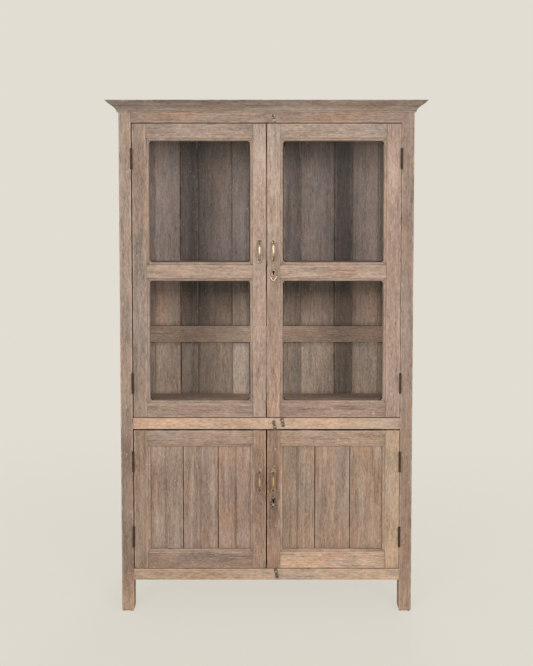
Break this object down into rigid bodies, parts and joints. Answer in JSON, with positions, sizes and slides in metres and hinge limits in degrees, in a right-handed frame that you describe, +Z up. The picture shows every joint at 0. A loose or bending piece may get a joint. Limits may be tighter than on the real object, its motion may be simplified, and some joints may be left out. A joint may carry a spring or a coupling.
{
  "type": "almirah",
  "caption": "Tall weathered teak cupboard with glazed doors above, boarded doors below, brass bow pulls, turn buttons and a moulded cornice on square post legs.",
  "frame": {"origin": "on the floor, under the middle of the outer box", "axes": "+Z up, -Y out of the doors, +X to the right as seen from the front"},
  "size_m": [1.188, 0.449, 1.93],
  "materials": {
    "frame_wood": "weathered limed teak, dry and matt",
    "door_wood": "weathered limed teak, dry and matt",
    "panel_wood": "greyed teak boards",
    "interior_wood": "dull unfinished teak",
    "pane_glass": "clear sheet glass",
    "fitting_brass": "aged, rubbed bright on the bows",
    "button_brass": "tarnished",
    "hinge_iron": "dark browned iron",
    "lock_iron": "dull steel"
  },
  "bodies": {
    "carcass": {"post_front_left": "frame_wood", "post_front_right": "frame_wood", "post_back_left": "frame_wood", "post_back_right": "frame_wood", "top_rail": "frame_wood", "middle_rail": "frame_wood", "bottom_rail": "frame_wood", "side_rails": "frame_wood", "side_panels": "panel_wood", "back_rails": "interior_wood", "back_muntins": "interior_wood", "back_panels": "panel_wood", "cornice_front": "frame_wood", "cornice_left": "frame_wood", "cornice_right": "frame_wood", "roof_board": "interior_wood", "floor_boards": "interior_wood", "shelves": "interior_wood", "cleats": "interior_wood", "frame_hinge_leaves": "hinge_iron", "hinge_pins": "hinge_iron", "turn_button_screws": "button_brass"},
    "upper_left_door": {"upper_left_door_hinge_stile": "door_wood", "upper_left_door_meeting_stile": "door_wood", "upper_left_door_rails": "door_wood", "upper_left_door_glass": "pane_glass", "upper_left_door_beads": "door_wood", "upper_left_door_hinge_leaves": "hinge_iron", "upper_left_door_pull": "fitting_brass"},
    "upper_right_door": {"upper_right_door_hinge_stile": "door_wood", "upper_right_door_meeting_stile": "door_wood", "upper_right_door_rails": "door_wood", "upper_right_door_glass": "pane_glass", "upper_right_door_beads": "door_wood", "upper_right_door_hinge_leaves": "hinge_iron", "upper_right_door_pull": "fitting_brass", "upper_right_door_keyhole_plate": "fitting_brass", "upper_right_door_lock_case": "lock_iron"},
    "lower_left_door": {"lower_left_door_hinge_stile": "door_wood", "lower_left_door_meeting_stile": "door_wood", "lower_left_door_rails": "door_wood", "lower_left_door_boards": "panel_wood", "lower_left_door_beads": "door_wood", "lower_left_door_hinge_leaves": "hinge_iron", "lower_left_door_pull": "fitting_brass"},
    "lower_right_door": {"lower_right_door_hinge_stile": "door_wood", "lower_right_door_meeting_stile": "door_wood", "lower_right_door_rails": "door_wood", "lower_right_door_boards": "panel_wood", "lower_right_door_beads": "door_wood", "lower_right_door_hinge_leaves": "hinge_iron", "lower_right_door_pull": "fitting_brass", "lower_right_door_keyhole_plate": "fitting_brass", "lower_right_door_lock_case": "lock_iron"},
    "upper_lock_bolt": {"upper_right_door_lock_bolt": "lock_iron"},
    "lower_lock_bolt": {"lower_right_door_lock_bolt": "lock_iron"},
    "turn_button_top": {"turn_button_top": "button_brass"},
    "turn_button_upper": {"turn_button_upper": "button_brass"},
    "turn_button_lower": {"turn_button_lower": "button_brass"},
    "turn_button_bottom": {"turn_button_bottom": "button_brass"}
  },
  "joints": [
    {"name": "upper_left_door_swing", "type": "hinge", "parent": "carcass", "child": "upper_left_door", "pos_m": [-0.5025, -0.1848, 0], "axis": [0, 0, -1], "range_deg": [0, 170]},
    {"name": "upper_right_door_swing", "type": "hinge", "parent": "carcass", "child": "upper_right_door", "pos_m": [0.5025, -0.1848, 0], "axis": [0, 0, 1], "range_deg": [0, 170]},
    {"name": "lower_left_door_swing", "type": "hinge", "parent": "carcass", "child": "lower_left_door", "pos_m": [-0.5025, -0.1848, 0], "axis": [0, 0, -1], "range_deg": [0, 170]},
    {"name": "lower_right_door_swing", "type": "hinge", "parent": "carcass", "child": "lower_right_door", "pos_m": [0.5025, -0.1848, 0], "axis": [0, 0, 1], "range_deg": [0, 170]},
    {"name": "upper_bolt_slide", "type": "slide", "parent": "upper_right_door", "child": "upper_lock_bolt", "axis": [-1, 0, 0], "range_m": [0, 0.012]},
    {"name": "lower_bolt_slide", "type": "slide", "parent": "lower_right_door", "child": "lower_lock_bolt", "axis": [-1, 0, 0], "range_m": [0, 0.012]},
    {"name": "turn_button_top_turn", "type": "hinge", "parent": "carcass", "child": "turn_button_top", "pos_m": [0.028, -0.1805, 1.86], "axis": [0, 1, 0], "range_deg": [-180, 0]},
    {"name": "turn_button_upper_turn", "type": "hinge", "parent": "carcass", "child": "turn_button_upper", "pos_m": [0.059, -0.1805, 0.735], "axis": [0, 1, 0], "range_deg": [-180, 0]},
    {"name": "turn_button_lower_turn", "type": "hinge", "parent": "carcass", "child": "turn_button_lower", "pos_m": [0.031, -0.1805, 0.712], "axis": [0, 1, 0], "range_deg": [-180, 0]},
    {"name": "turn_button_bottom_turn", "type": "hinge", "parent": "carcass", "child": "turn_button_bottom", "pos_m": [0.036, -0.1805, 0.156], "axis": [0, 1, 0], "range_deg": [-180, 0]}
  ]
}
